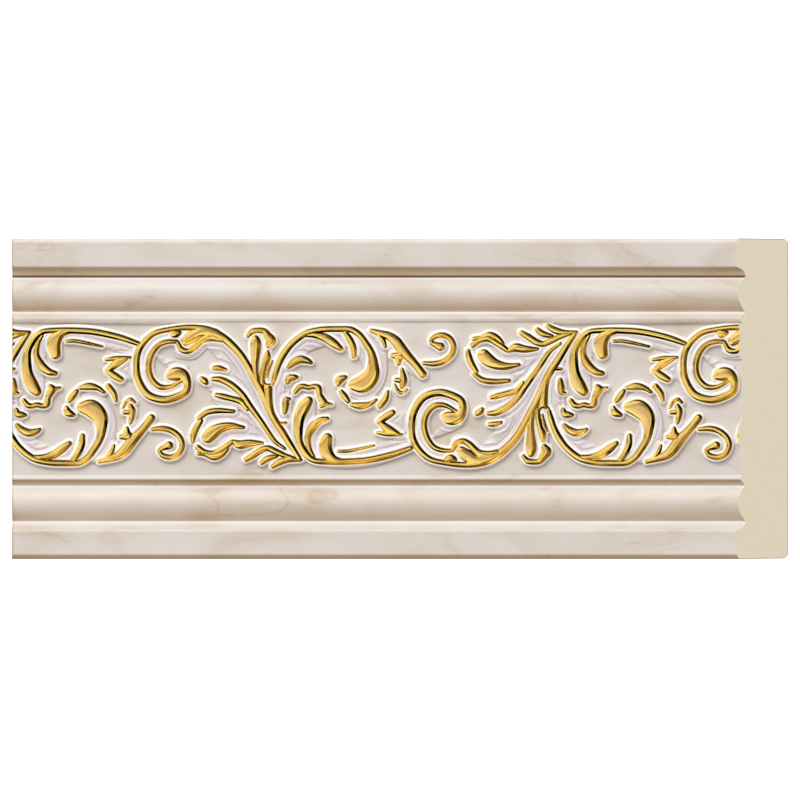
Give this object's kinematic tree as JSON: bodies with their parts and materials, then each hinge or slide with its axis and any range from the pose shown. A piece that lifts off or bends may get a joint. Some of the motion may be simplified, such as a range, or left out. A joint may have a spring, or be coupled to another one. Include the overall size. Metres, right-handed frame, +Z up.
{
  "type": "wall moulding",
  "caption": "Wide wall moulding with a gilded running acanthus scroll in a sunk field between ovolo mouldings, square at one end and mitred at the other.",
  "frame": {"origin": "centre of the flat back that goes against the wall", "axes": "+X along the length towards the mitred end, +Y out of the back into the wall, so the carved face looks along -Y, +Z up"},
  "size_m": [0.3634, 0.0247, 0.15],
  "materials": {
    "ivory_finish": "satin pearl"
  },
  "bodies": {
    "root": {"moulding": "ivory_finish"}
  },
  "joints": []
}
